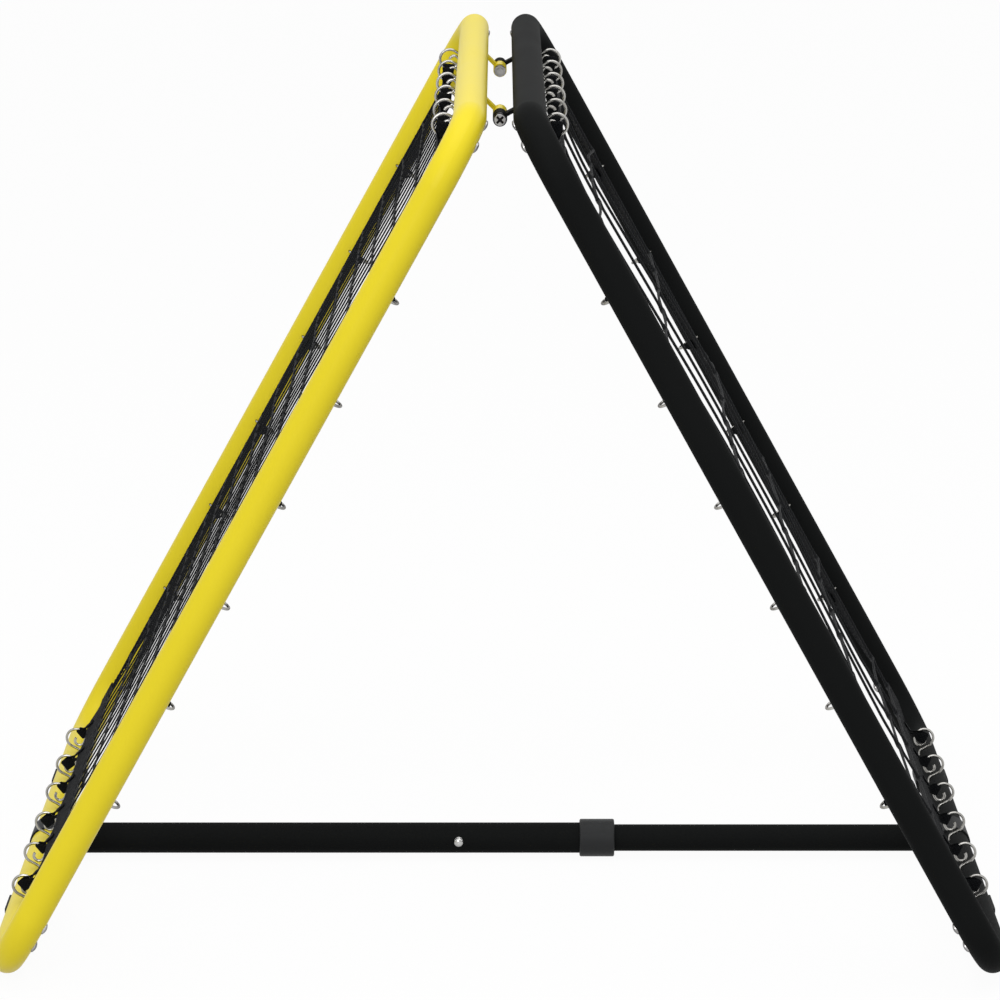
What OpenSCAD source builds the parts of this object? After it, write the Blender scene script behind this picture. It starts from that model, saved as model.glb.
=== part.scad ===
// Pitch back rebounder: two square tube frames hinged at the top, each with a
// net hung on wire pigtail hooks, held apart by a telescopic brace.
// X is the depth (yellow frame at -X, black frame at +X), Y the width, Z up.
// The floor is z = 0, and the origin lies midway between the feet.

/* [Frame] */
// Width between the side tubes, centre to centre
frame_w = 812; // [700:1:1000]
// Length of a side from crossbar to crossbar, centre to centre
frame_len = 827; // [700:1:1000]
// Lean of each frame from the vertical, in degrees
lean = 28.9; // [22:0.1:36]
// Outer diameter of the frame tube
tube_d = 28; // [24:0.5:32]
// Wall of the frame tube
tube_wall = 1.5; // [1:0.1:2.5]
// Radius of the corner bends, to the centre of the tube
bend_r = 56; // [45:1:80]
// Distance from the hinge plane to each top crossbar's centre
crossbar_offset = 25; // [22:0.5:32]
// Straight length of each rail past its bends
rail_stub = 4; // [2:0.5:20]
// Length of the swaged end that plugs into the side tube
spigot_len = 45; // [20:1:70]

/* [Hooks] */
// Diameter of the hook wire
wire_d = 2.5; // [2:0.1:4]
// Radius of the hook's ring, to the centre of the wire
ring_r = 9.2; // [8:0.1:12]
// Sideways offset of the ring's centre from the tube's centre
ring_offset = 11.5; // [9:0.5:14]
// Height of the ring's start over the tube's surface
ring_stand = 4.4; // [3:0.1:8]
// Radius of the small bend at the foot of the ring
lead_r = 4.5; // [3:0.1:6]
// Tilt of the ring out of the hook's own plane, in degrees
ring_tilt = 2; // [0:1:20]
// Sweep of the ring before it curls in to its centre, in degrees
ring_sweep = 280; // [250:1:290]
// Distance between neighbouring hooks
hook_spacing = 99; // [70:1:110]
// Hooks on each side of a frame
hooks_per_side = 6; // [4:1:6]
// Height of the side hooks over their even spacing about the middle
side_hook_lift = 4.5; // [0:0.5:8]

/* [Nets] */
// Distance from the tube's surface to the net's border
net_inset = 28; // [24:1:40]
// Width of the webbing border
border_w = 22; // [14:1:40]
// Thickness of the webbing border
border_t = 2.4; // [1.5:0.1:4]
// Thickness of the fine net's cords
fine_cord = 1.8; // [1.2:0.1:3]
// Thickness of the coarse net's cords
coarse_cord = 2.6; // [1.8:0.1:4]
// Meshes along each side of the fine net
fine_mesh_count = 17; // [8:1:17]
// Distance between the coarse net's cords
coarse_pitch = 118; // [80:1:160]
// Depth of the coarse net's first part mesh below the border
coarse_first = 73; // [20:1:100]
// Width of the webbing tabs that hold the border to the hooks
tab_w = 8.5; // [6:0.5:10]
// Thickness of a tab
tab_t = 1.4; // [1:0.1:1.8]

/* [Hinge] */
// Drop of the hinge axis below the top crossbars' centres
hinge_drop = 19; // [18:0.5:28]
// Distance from the middle of the frame to each hinge
hinge_y = 182; // [150:1:215]
// Outer diameter of a knuckle
knuckle_d = 12.5; // [10:0.5:15]
// Length of a knuckle
knuckle_len = 26.5; // [15:0.5:35]
// Thickness of the hinge strap
strap_t = 3; // [2:0.5:5]
// Width of the hinge strap along the hinge
strap_w = 16; // [8:1:24]
// Rise of the yellow strap from the hinge to its crossbar, in degrees
yellow_rise = 45; // [35:1:50]
// Rise of the black strap from the hinge to its crossbar, in degrees
black_rise = 28; // [24:1:50]
// Diameter of the hinge bolt
bolt_d = 6; // [4:0.5:8]
// Outer diameter of the hinge washers
washer_d = 11; // [9:0.5:12.5]

/* [Corner screws] */
// Diameter of a screw's head
screw_head_d = 10; // [8:0.5:11]
// Height of the domed head over the tube
screw_head_h = 2.2; // [1.5:0.1:4]

/* [Feet and sleeves] */
// Wall of the plastic feet and sleeves on the bottom crossbars
sleeve_wall = 2; // [1.5:0.1:4]
// Length of a foot
foot_len = 42; // [25:1:60]
// Distance from the middle of the frame to each foot
foot_y = 210; // [175:1:220]
// How far a foot clips round the tube, in degrees
foot_wrap = 200; // [185:5:240]
// Thickness of the sole under a foot, which holds the brace's collar off the floor
foot_sole = 2; // [0:0.1:4]
// Length of the brace's end sleeve
brace_sleeve_len = 42; // [30:1:60]

/* [Brace] */
// Outer diameter of the brace's outer tube
brace_d = 28.5; // [26:0.5:30]
// Wall of the brace's outer tube
brace_outer_wall = 1.7; // [1.2:0.1:2.5]
// Wall of the brace's inner tube
brace_inner_wall = 1.5; // [1:0.1:2.5]
// Place of the collar's middle along the brace, from the hinge plane
collar_x = 91; // [60:1:130]
// Length of the collar
collar_len = 32.5; // [24:0.5:50]
// Outer diameter of the collar
collar_d = 35.3; // [33:0.1:42]
// Place of the snap button along the brace, from the hinge plane
button_x = -38.8; // [-60:0.1:0]
// Diameter of the snap button
button_d = 8.2; // [6:0.1:10]
// Height of the snap button over the outer tube
button_rise = 4; // [3:0.1:5]
// Hidden length of the inner tube past the snap button
inner_overlap = 41; // [30:1:80]

/* [Hidden] */

$fn = 48;

// Clearances
fit_gap = 0.05;        // radial, of a shaft in its bore
part_gap = 0.3;        // between faces of pieces that move past each other
cut = 1;               // length of a cutting tool past the face it cuts

// Frame tube
tube_r = tube_d / 2;
bore_r = tube_r - tube_wall;
spigot_r = bore_r - fit_gap;
shoulder_t = 3;        // solid step behind the swaged end
half_w = frame_w / 2;
bend_y = half_w - bend_r;
joint_z = bend_r + rail_stub;
sleeve_r = tube_r + sleeve_wall;
foot_z = sleeve_r + foot_sole;
sole_w = 10;
foot_x = crossbar_offset + frame_len * sin(lean);
top_z = foot_z + frame_len * cos(lean);
hinge_z = top_z - hinge_drop;

// Hooks, in a frame where x is the curl side, y along the tube, z to the net
hook_root = tube_r - 4;
ring_foot = tube_r + ring_stand;
curl_r = ring_r / 2;
hook_hole_r = wire_d / 2 + 2 * fit_gap;
hook_rows = [for (i = [0 : hooks_per_side - 1]) (i - (hooks_per_side - 1) / 2) * hook_spacing];

// Nets
border_e = tube_r + net_inset;
mesh_edge = border_e + border_w;
loop_reach = (border_e - ring_foot) / cos(ring_tilt) - ring_r;
loop_angle = atan2(loop_reach, -ring_offset);
loop_leg = norm([loop_reach, ring_offset]) - ring_r;
tab_slack = ring_r - sqrt(ring_r * ring_r - tab_w * tab_w / 4);
tab_bend = wire_d / 2 + part_gap;
tab_hem = border_t;    // width of the gathered end at the border

// Corner screws: angles along a bend, counted from the side tube
top_screw_angles = [47, 88];
bottom_screw_angles = [3, 24];
screw_dome_r = 0.8 * screw_head_d;
screw_d = 4.2;
screw_len = 9;         // below the head
head_sink = tube_r - sqrt(tube_r * tube_r - screw_head_d * screw_head_d / 4);

// Hinge
bolt_head_d = 2 * bolt_d;
bolt_head_h = 0.8 * bolt_d;
washer_t = 1.2;
nut_h = 0.9 * bolt_d;
nut_d = 1.92 * bolt_d; // across the corners
bolt_tail = 2;         // thread that shows past the nut
knuckle_in = hinge_y - part_gap / 2;
knuckle_out = hinge_y + part_gap / 2;
stack_in = knuckle_in - knuckle_len;
stack_out = knuckle_out + knuckle_len + part_gap;
strap_reach = norm([crossbar_offset, hinge_drop]);

// Brace
brace_r = brace_d / 2;
brace_bore_r = brace_r - brace_outer_wall;
inner_r = brace_bore_r - fit_gap;
inner_bore_r = inner_r - brace_inner_wall;
brace_sleeve_r = sleeve_r - 0.2;   // kept off the floor
plug_len = 30;
collar_lip = 5;
edge_r = 1.5;
collar_start = collar_x - collar_len / 2;
collar_end = collar_x + collar_len / 2;
outer_end = collar_end - collar_lip - fit_gap;
inner_start = button_x - inner_overlap;
button_hole_r = button_d / 2 + 0.7;
button_travel = brace_outer_wall - 2 * fit_gap;
button_face = inner_r + fit_gap + button_travel;
button_top = brace_r + button_rise;
spring_w = 8;
spring_t = 0.8;
spring_reach = 50;     // from the button to the spring's bend
spring_setback = 14;   // from the inner tube's end to the spring's tips
spring_back = button_x + spring_reach;
spring_tip = inner_start + spring_setback;
spring_bend = 2.4;
spring_lift = sqrt(inner_bore_r * inner_bore_r - spring_w * spring_w / 4) - fit_gap;
spring_angle = atan((spring_lift - spring_bend) / (spring_back - spring_tip));

YELLOW = [0.91, 0.84, 0.20];
BLACK = [0.12, 0.13, 0.13];
ZINC = [0.75, 0.75, 0.76];
PLASTIC = [0.16, 0.16, 0.17];
NET = [0.06, 0.06, 0.07];

// ---- Places ----

// The plane of one frame: x outwards, y across, z up the slope, from its top crossbar
module frame_plane(side) {
    mirror([side < 0 ? 1 : 0, 0, 0])
        translate([crossbar_offset, 0, top_z])
            rotate([0, -lean, 0])
                children();
}

// A piece and its mirror image across the middle of the frame
module both_ends() {
    children();
    mirror([0, 1, 0]) children();
}

// A piece of the top crossbar, moved to the bottom one
module to_bottom() {
    translate([0, 0, -frame_len])
        mirror([0, 0, 1])
            children();
}

// ---- Round stock ----

// Points of a quarter circle that rounds a profile's corner
function corner(x, y, r, start) = [
    for (i = [0 : 4]) [x + r * cos(start + 22.5 * i), y + r * sin(start + 22.5 * i)]
];

// Profile of a ring from radius r_in to r_out with rounded outer edges
function ring_profile(r_in, r_out, len, r) = concat(
    [[r_in, 0]],
    corner(r_out - r, r, r, -90),
    corner(r_out - r, len - r, r, 0),
    [[r_in, len]]
);

// A piece of torus in the xz plane, from an angle over a sweep
module arc(r, d, start, sweep) {
    rotate([90, 0, 0])
        rotate([0, 0, start])
            rotate_extrude(angle = sweep)
                translate([r, 0])
                    circle(d = d);
}

// A bar along y, centred
module rod_y(r, len) {
    rotate([90, 0, 0]) cylinder(r = r, h = len, center = true);
}

// A ring along y, centred, with rounded edges
module sleeve_y(r_in, r_out, len) {
    rotate([90, 0, 0])
        translate([0, 0, -len / 2])
            rotate_extrude()
                polygon(ring_profile(r_in, r_out, len, edge_r));
}

// ---- Frame tubes ----

// Crossbar and its two bends as one bar
module rail_bar(r) {
    rod_y(r, 2 * bend_y);
    both_ends()
        translate([0, bend_y, -bend_r])
            rotate([90, 0, 90])
                rotate_extrude(angle = 90)
                    translate([bend_r, 0])
                        circle(r = r);
}

// Straight legs of a rail, from its bends down to a depth
module rail_legs(r, depth) {
    both_ends()
        translate([0, half_w, -depth])
            cylinder(r = r, h = depth - bend_r);
}

module rail(screw_angles) {
    difference() {
        union() {
            rail_bar(tube_r);
            rail_legs(tube_r, joint_z);
            rail_legs(spigot_r, joint_z + spigot_len);
        }
        rail_bar(bore_r);
        rail_legs(bore_r, joint_z - shoulder_t);
        rail_legs(spigot_r - tube_wall, joint_z + spigot_len + cut);
        at_top_hooks() cylinder(r = hook_hole_r, h = tube_d);
        at_screws(screw_angles) cylinder(r = screw_d / 2 + fit_gap, h = tube_d);
    }
}

module far_side_tube() {
    tube_len = frame_len - 2 * joint_z;
    difference() {
        translate([0, half_w, joint_z - frame_len])
            cylinder(r = tube_r, h = tube_len);
        translate([0, half_w, joint_z - frame_len - cut])
            cylinder(r = bore_r, h = tube_len + 2 * cut);
        at_far_hooks() cylinder(r = hook_hole_r, h = tube_d);
    }
}

// ---- Corner screws ----

module at_screws(angles) {
    both_ends()
        for (a = angles)
            translate([0, bend_y + bend_r * cos(a), bend_r * (sin(a) - 1)])
                rotate([0, -90, 0])
                    children();
}

module screw_set(angles) {
    difference() {
        at_screws(angles)
            intersection() {
                translate([0, 0, tube_r - head_sink])
                    cylinder(d = screw_head_d, h = head_sink + screw_head_h);
                translate([0, 0, tube_r + screw_head_h - screw_dome_r]) sphere(r = screw_dome_r);
            }
        rail_bar(tube_r);
        rail_legs(tube_r, joint_z);
    }
    at_screws(angles)
        translate([0, 0, tube_r - screw_len])
            cylinder(d = screw_d, h = screw_len + screw_head_h / 2);
}

module corner_screws() {
    screw_set(top_screw_angles);
    to_bottom() screw_set(bottom_screw_angles);
}

// ---- Pigtail hooks ----

module at_top_hooks() {
    for (y = hook_rows)
        translate([0, y, 0])
            rotate([180, 0, 0])
                children();
}

module at_far_hooks() {
    mirror([0, 1, 0])
        for (z = hook_rows)
            translate([0, -half_w, z + side_hook_lift - frame_len / 2])
                rotate(a = 180, v = [0, 1, 1])
                    children();
}

// The tilted plane of a ring, from the ring's centre
module ring_plane() {
    translate([ring_offset, 0, ring_foot])
        rotate([-ring_tilt, 0, 0])
            translate([0, 0, ring_r])
                children();
}

// One wire: a shank through the tube's wall, a small bend, an open ring that
// climbs off its own foot, and a half turn that brings the tip to the centre
module hook() {
    ring_end = ring_sweep - 90;
    translate([0, 0, hook_root]) cylinder(d = wire_d, h = ring_foot - lead_r - hook_root);
    translate([lead_r, 0, ring_foot - lead_r]) arc(lead_r, wire_d, 90, 90);
    translate([lead_r, 0, ring_foot])
        rotate([0, 90, 0])
            cylinder(d = wire_d, h = ring_offset - lead_r);
    ring_plane() {
        arc(ring_r, wire_d, -90, ring_sweep);
        rotate([0, -ring_end, 0])
            translate([ring_r - curl_r, 0, 0])
                arc(curl_r, wire_d, 0, 180);
    }
}

// ---- Nets ----

// A webbing tab folded round the ring, with two legs that are gathered to the
// width of the border's edge
module net_loop() {
    difference() {
        ring_plane()
            rotate([0, -loop_angle, 0])
                translate([ring_r - tab_slack, 0, 0]) {
                    rotate([0, 0, 90])
                        rotate_extrude(angle = 180)
                            translate([tab_bend, -tab_w / 2])
                                square([tab_t, tab_w]);
                    both_ends()
                        translate([0, tab_bend + tab_t, 0])
                            rotate([90, 0, 0])
                                linear_extrude(tab_t)
                                    tab_leg();
                }
        translate([-tube_d, -tube_d, border_e]) cube(2 * tube_d);
    }
}

// Outline of a leg: straight past the ring's wire, then narrowing to the border
module tab_leg() {
    past_wire = tab_slack + wire_d / 2;
    sewn = tab_slack + loop_leg + tab_hem;
    polygon([
        [0, -tab_w / 2], [past_wire, -tab_w / 2], [sewn, -tab_hem / 2],
        [sewn, tab_hem / 2], [past_wire, tab_w / 2], [0, tab_w / 2]
    ]);
}

module net_loops() {
    at_top_hooks() net_loop();
    to_bottom() at_top_hooks() net_loop();
    both_ends() at_far_hooks() net_loop();
}

// A rectangle in the plane of the net, a distance in from the tubes' centres
module net_rect(inset) {
    square([frame_w - 2 * inset, frame_len - 2 * inset], center = true);
}

// A flat shape laid in the plane of the net
module net_sheet(thickness) {
    translate([0, 0, -frame_len / 2])
        rotate([90, 0, 90])
            linear_extrude(thickness, center = true)
                children();
}

module net_border() {
    net_sheet(border_t)
        difference() {
            net_rect(border_e);
            net_rect(mesh_edge);
        }
}

// Cords that cross at right angles: upright ones at each y, level ones at each z
module net(cord, places_y, places_z) {
    inner_w = frame_w - 2 * mesh_edge;
    inner_len = frame_len - 2 * mesh_edge;
    net_sheet(cord)
        union() {
            difference() {
                net_rect(mesh_edge);
                net_rect(mesh_edge + cord);
            }
            for (y = places_y) translate([y, 0]) square([cord, inner_len], center = true);
            for (z = places_z) translate([0, z]) square([inner_w, cord], center = true);
        }
}

// Places of the fine net's inner cords across a length, evenly spread
function fine_places(length) = [
    for (i = [1 : fine_mesh_count - 1])
        (i / fine_mesh_count - 0.5) * (length - 2 * mesh_edge - fine_cord)
];

module fine_net() {
    net(fine_cord, fine_places(frame_w), fine_places(frame_len));
}

// One cord runs down the middle, and the level cords are counted from the top
module coarse_net() {
    side_cords = floor((half_w - mesh_edge - coarse_cord) / coarse_pitch);
    top = frame_len / 2 - mesh_edge;
    net(
        coarse_cord,
        [for (i = [-side_cords : side_cords]) i * coarse_pitch],
        [for (z = [top - coarse_first : -coarse_pitch : 2 * coarse_cord - top]) z]
    );
}

// ---- Hinge ----

// Two knuckles welded to straps that reach the crossbar
module hinge_straps(side, knuckle_y, rise) {
    mirror([side < 0 ? 1 : 0, 0, 0])
        both_ends()
            translate([0, knuckle_y, hinge_z])
                difference() {
                    union() {
                        rod_y(knuckle_d / 2, knuckle_len);
                        rotate([0, -rise, 0])
                            translate([0, -strap_w / 2, -strap_t / 2])
                                cube([strap_reach, strap_w, strap_t]);
                    }
                    rod_y(bolt_d / 2 + fit_gap, knuckle_len + cut);
                    translate([crossbar_offset, 0, hinge_drop]) rod_y(tube_r, 2 * knuckle_len);
                }
}

// A turned piece on both hinge axes, a distance out from the middle
module on_hinges(y) {
    both_ends()
        translate([0, y, hinge_z])
            rotate([-90, 0, 0])
                children();
}

// ---- Feet and brace ----

// A clip with a flat sole on the floor side of each end of the bottom crossbar
module feet() {
    to_bottom()
        both_ends()
            translate([0, foot_y, 0])
                rotate([90, foot_wrap / 2 - lean - 90, 0])
                    translate([0, 0, -foot_len / 2]) {
                        rotate_extrude(angle = foot_wrap)
                            polygon(ring_profile(tube_r + fit_gap, sleeve_r, foot_len, edge_r));
                        rotate([0, 0, foot_wrap / 2])
                            translate([sleeve_r - 1.2, -sole_w / 2, 2 * edge_r])
                                cube([foot_sole + 1.2, sole_w, foot_len - 4 * edge_r]);
                    }
}

// A sleeve round a bottom crossbar with a plug for the end of the brace
module brace_sleeve(plug_r) {
    difference() {
        union() {
            sleeve_y(tube_r / 2, brace_sleeve_r, brace_sleeve_len);
            rotate([0, 90, 0]) cylinder(r = plug_r, h = brace_sleeve_r + plug_len);
        }
        rod_y(tube_r + fit_gap, brace_sleeve_len + cut);
    }
}

// A bar along the brace's axis from one place to another
module brace_bar(r, from, to) {
    translate([from, 0, foot_z])
        rotate([0, 90, 0])
            cylinder(r = r, h = to - from);
}

// A turned piece on the snap button's axis, pointing out at the near side
module at_button() {
    translate([button_x, 0, foot_z])
        rotate([90, 0, 0])
            children();
}

// ---- Yellow frame ----

module yellow_top_rail() {
    color(YELLOW) frame_plane(-1) rail(top_screw_angles);
}

module yellow_bottom_rail() {
    color(YELLOW) frame_plane(-1) to_bottom() rail(bottom_screw_angles);
}

module yellow_near_side_tube() {
    color(YELLOW) frame_plane(-1) mirror([0, 1, 0]) far_side_tube();
}

module yellow_far_side_tube() {
    color(YELLOW) frame_plane(-1) far_side_tube();
}

module yellow_top_hooks() {
    color(ZINC) frame_plane(-1) at_top_hooks() hook();
}

module yellow_bottom_hooks() {
    color(ZINC) frame_plane(-1) to_bottom() at_top_hooks() hook();
}

module yellow_near_hooks() {
    color(ZINC) frame_plane(-1) mirror([0, 1, 0]) at_far_hooks() hook();
}

module yellow_far_hooks() {
    color(ZINC) frame_plane(-1) at_far_hooks() hook();
}

module yellow_corner_screws() {
    color(ZINC) frame_plane(-1) corner_screws();
}

module yellow_hinge_straps() {
    color(YELLOW) hinge_straps(-1, knuckle_in - knuckle_len / 2, yellow_rise);
}

module yellow_feet() {
    color(PLASTIC) frame_plane(-1) feet();
}

module yellow_net() {
    color(NET) frame_plane(-1) fine_net();
}

module yellow_net_border() {
    color(NET) frame_plane(-1) net_border();
}

module yellow_net_loops() {
    color(NET) frame_plane(-1) net_loops();
}

// ---- Black frame ----

module black_top_rail() {
    color(BLACK) frame_plane(1) rail(top_screw_angles);
}

module black_bottom_rail() {
    color(BLACK) frame_plane(1) to_bottom() rail(bottom_screw_angles);
}

module black_near_side_tube() {
    color(BLACK) frame_plane(1) mirror([0, 1, 0]) far_side_tube();
}

module black_far_side_tube() {
    color(BLACK) frame_plane(1) far_side_tube();
}

module black_top_hooks() {
    color(ZINC) frame_plane(1) at_top_hooks() hook();
}

module black_bottom_hooks() {
    color(ZINC) frame_plane(1) to_bottom() at_top_hooks() hook();
}

module black_near_hooks() {
    color(ZINC) frame_plane(1) mirror([0, 1, 0]) at_far_hooks() hook();
}

module black_far_hooks() {
    color(ZINC) frame_plane(1) at_far_hooks() hook();
}

module black_corner_screws() {
    color(ZINC) frame_plane(1) corner_screws();
}

module black_hinge_straps() {
    color(BLACK) hinge_straps(1, knuckle_out + knuckle_len / 2, black_rise);
}

module black_feet() {
    color(PLASTIC) frame_plane(1) feet();
}

module black_net() {
    color(NET) frame_plane(1) coarse_net();
}

module black_net_border() {
    color(NET) frame_plane(1) net_border();
}

module black_net_loops() {
    color(NET) frame_plane(1) net_loops();
}

// ---- Hinge hardware ----

module hinge_bolts() {
    shank_start = stack_in - washer_t - nut_h - bolt_tail;
    head_start = stack_out + washer_t;
    slot = 0.36 * bolt_d;
    color(ZINC)
        on_hinges(0)
            difference() {
                union() {
                    translate([0, 0, shank_start])
                        cylinder(d = bolt_d, h = head_start - shank_start + bolt_head_h / 2);
                    translate([0, 0, head_start])
                        rotate_extrude()
                            polygon(ring_profile(0, bolt_head_d / 2, bolt_head_h, edge_r));
                }
                translate([0, 0, head_start + bolt_head_h])
                    for (a = [45, 135])
                        rotate([0, 0, a])
                            cube([1.3 * bolt_d, slot, bolt_head_h], center = true);
            }
}

module hinge_washers() {
    color(ZINC)
        for (y = [stack_in - washer_t, stack_out])
            on_hinges(y)
                difference() {
                    cylinder(d = washer_d, h = washer_t);
                    translate([0, 0, -cut]) cylinder(r = bolt_d / 2 + fit_gap, h = washer_t + 2 * cut);
                }
}

module hinge_nuts() {
    color(ZINC)
        on_hinges(stack_in - washer_t - nut_h)
            difference() {
                rotate([0, 0, 30]) cylinder(d = nut_d, h = nut_h, $fn = 6);
                translate([0, 0, -cut]) cylinder(r = bolt_d / 2 + fit_gap, h = nut_h + 2 * cut);
            }
}

// ---- Brace ----

module brace_outer_tube() {
    color(BLACK)
        difference() {
            brace_bar(brace_r, -foot_x, outer_end);
            brace_bar(brace_bore_r, -foot_x - cut, outer_end + cut);
            translate([-foot_x, 0, foot_z]) rod_y(brace_sleeve_r, 2 * brace_d);
            at_button() cylinder(r = button_hole_r, h = brace_d);
        }
}

module brace_inner_tube() {
    color(BLACK)
        difference() {
            brace_bar(inner_r, inner_start, foot_x);
            brace_bar(inner_bore_r, inner_start - cut, foot_x + cut);
            translate([foot_x, 0, foot_z]) rod_y(brace_sleeve_r + part_gap, 2 * brace_d);
            at_button() cylinder(r = button_d / 2 + fit_gap, h = brace_d);
        }
}

module brace_collar() {
    bore = brace_r + fit_gap;
    lip_bore = inner_r + fit_gap;
    color(PLASTIC)
        translate([collar_start, 0, foot_z])
            rotate([0, 90, 0])
                rotate_extrude()
                    difference() {
                        polygon(ring_profile(lip_bore, collar_d / 2, collar_len, edge_r));
                        translate([0, -cut]) square([bore, collar_len - collar_lip + cut]);
                    }
}

module brace_yellow_sleeve() {
    color(PLASTIC)
        translate([-foot_x, 0, foot_z])
            brace_sleeve(brace_bore_r - fit_gap);
}

module brace_black_sleeve() {
    color(PLASTIC)
        translate([foot_x, 0, foot_z])
            mirror([1, 0, 0])
                brace_sleeve(inner_bore_r - fit_gap);
}

module snap_button() {
    dome_r = 0.625 * button_d;
    color(ZINC)
        at_button()
            intersection() {
                translate([0, 0, button_face]) cylinder(d = button_d, h = button_top - button_face);
                translate([0, 0, button_top - dome_r]) sphere(r = dome_r);
            }
}

// Points of the spring's bend at a radius, from its lower leg to its upper one
function spring_arc(r) = [
    for (i = [-4 : 4]) r * [cos(i * (90 - spring_angle) / 4), sin(i * (90 - spring_angle) / 4)]
];

// The two tips of the spring's faces at a radius: side 1 above, -1 below
function spring_end(r, side) =
    [r * sin(spring_angle), side * r * cos(spring_angle)]
    + (spring_back - spring_tip) / cos(spring_angle) * [-cos(spring_angle), side * sin(spring_angle)];

// A strip bent into a V, whose legs press on the inner tube's wall, with the
// stud that stands under the button and fills the inner tube's hole
module button_spring() {
    inner_face = spring_bend - spring_t;
    inner_bend = spring_arc(inner_face);
    leg_top = spring_bend / cos(spring_angle) + spring_reach * tan(spring_angle);
    color(ZINC) {
        translate([spring_back, 0, foot_z])
            linear_extrude(spring_w, center = true)
                polygon(concat(
                    spring_arc(spring_bend),
                    [spring_end(spring_bend, 1), spring_end(inner_face, 1)],
                    [for (i = [len(inner_bend) - 1 : -1 : 0]) inner_bend[i]],
                    [spring_end(inner_face, -1), spring_end(spring_bend, -1)]
                ));
        intersection() {
            at_button()
                translate([0, 0, leg_top - spring_t / 2])
                    cylinder(d = button_d, h = brace_r - leg_top);
            brace_bar(inner_r - fit_gap, inner_start, spring_back);
        }
    }
}

yellow_top_rail();
yellow_bottom_rail();
yellow_near_side_tube();
yellow_far_side_tube();
yellow_top_hooks();
yellow_bottom_hooks();
yellow_near_hooks();
yellow_far_hooks();
yellow_corner_screws();
yellow_hinge_straps();
yellow_feet();
yellow_net();
yellow_net_border();
yellow_net_loops();
black_top_rail();
black_bottom_rail();
black_near_side_tube();
black_far_side_tube();
black_top_hooks();
black_bottom_hooks();
black_near_hooks();
black_far_hooks();
black_corner_screws();
black_hinge_straps();
black_feet();
black_net();
black_net_border();
black_net_loops();
hinge_bolts();
hinge_washers();
hinge_nuts();
brace_outer_tube();
brace_inner_tube();
brace_collar();
brace_yellow_sleeve();
brace_black_sleeve();
snap_button();
button_spring();
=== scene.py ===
# %% [markdown]
# # Pitch back rebounder
# Two square tube frames lean together like a tent, hinged at the top and held
# apart by a telescopic brace at the bottom. The yellow frame carries a fine net
# and the black one a coarse net, each hung on wire pigtail hooks.
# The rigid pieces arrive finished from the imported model. This lesson dresses
# them, and builds what a solid modeller can't say well: netting, sewn webbing
# and the little tabs that hold the webbing to the hooks.

import math

import bmesh
import bpy
import numpy as np
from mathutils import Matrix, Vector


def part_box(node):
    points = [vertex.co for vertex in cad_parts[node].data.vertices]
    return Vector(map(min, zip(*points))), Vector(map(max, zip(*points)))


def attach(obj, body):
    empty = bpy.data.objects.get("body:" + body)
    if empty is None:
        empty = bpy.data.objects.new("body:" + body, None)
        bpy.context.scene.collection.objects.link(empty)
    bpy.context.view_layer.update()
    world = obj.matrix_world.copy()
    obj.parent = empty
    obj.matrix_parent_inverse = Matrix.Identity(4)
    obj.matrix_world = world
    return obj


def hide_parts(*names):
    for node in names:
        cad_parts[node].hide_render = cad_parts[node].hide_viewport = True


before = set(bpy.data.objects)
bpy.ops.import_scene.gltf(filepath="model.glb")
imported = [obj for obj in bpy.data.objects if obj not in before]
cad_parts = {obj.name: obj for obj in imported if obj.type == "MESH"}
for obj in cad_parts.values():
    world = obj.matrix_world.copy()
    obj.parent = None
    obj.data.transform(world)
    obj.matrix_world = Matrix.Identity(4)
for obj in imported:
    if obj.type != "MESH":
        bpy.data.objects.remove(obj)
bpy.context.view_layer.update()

# %% [markdown]
# ## Camera
# A camera close by would make the near tubes much larger than the far ones.
# This one stands four metres off with a long lens and looks slightly down, so
# that the two frames look almost like a drawing of their side.

# %% Camera
CAMERA_PLACE = (0.0, -3.985, 1.2)
CAMERA_LOOKS_DOWN = 12.14
SENSOR_WIDTH = 36.0
LENS_LENGTH = 158.62
FARTHEST_SEEN = 60.0

camera_data = bpy.data.cameras.new("camera")
camera_data.sensor_width = SENSOR_WIDTH
camera_data.lens = LENS_LENGTH
camera_data.clip_end = FARTHEST_SEEN
camera = bpy.data.objects.new("camera", camera_data)
camera.location = CAMERA_PLACE
camera.rotation_euler = (math.radians(90 - CAMERA_LOOKS_DOWN), 0, 0)
bpy.context.scene.collection.objects.link(camera)
bpy.context.scene.camera = camera
bpy.context.scene.view_settings.view_transform = "Standard"
print("camera at", CAMERA_PLACE, "lens", LENS_LENGTH)

# %% [markdown]
# ## Helpers for node trees
# Blender's shaders are trees of nodes. Writing each node and link by hand takes
# many lines, so one helper places a node with its values, one does arithmetic,
# and one turns a colour as a screen shows it into what shaders use.


# %% Small helpers for node trees
def add_node(tree, kind, **inputs):
    """Adds a node; a name fills its input, by value or by link, or else its setting."""
    node = tree.nodes.new(kind)
    for name, value in inputs.items():
        if hasattr(node, name) and name not in node.inputs:
            setattr(node, name, value)
            continue
        socket = node.inputs[name]
        if isinstance(value, bpy.types.NodeSocket):
            tree.links.new(value, socket)
        else:
            socket.default_value = value
    return node


def calculate(tree, operation, *values):
    """A Math node: its values are numbers or sockets, and its result is a socket."""
    node = tree.nodes.new("ShaderNodeMath")
    node.operation = operation
    for socket, value in zip(node.inputs, values):
        if isinstance(value, bpy.types.NodeSocket):
            tree.links.new(value, socket)
        else:
            socket.default_value = value
    return node.outputs[0]


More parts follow.
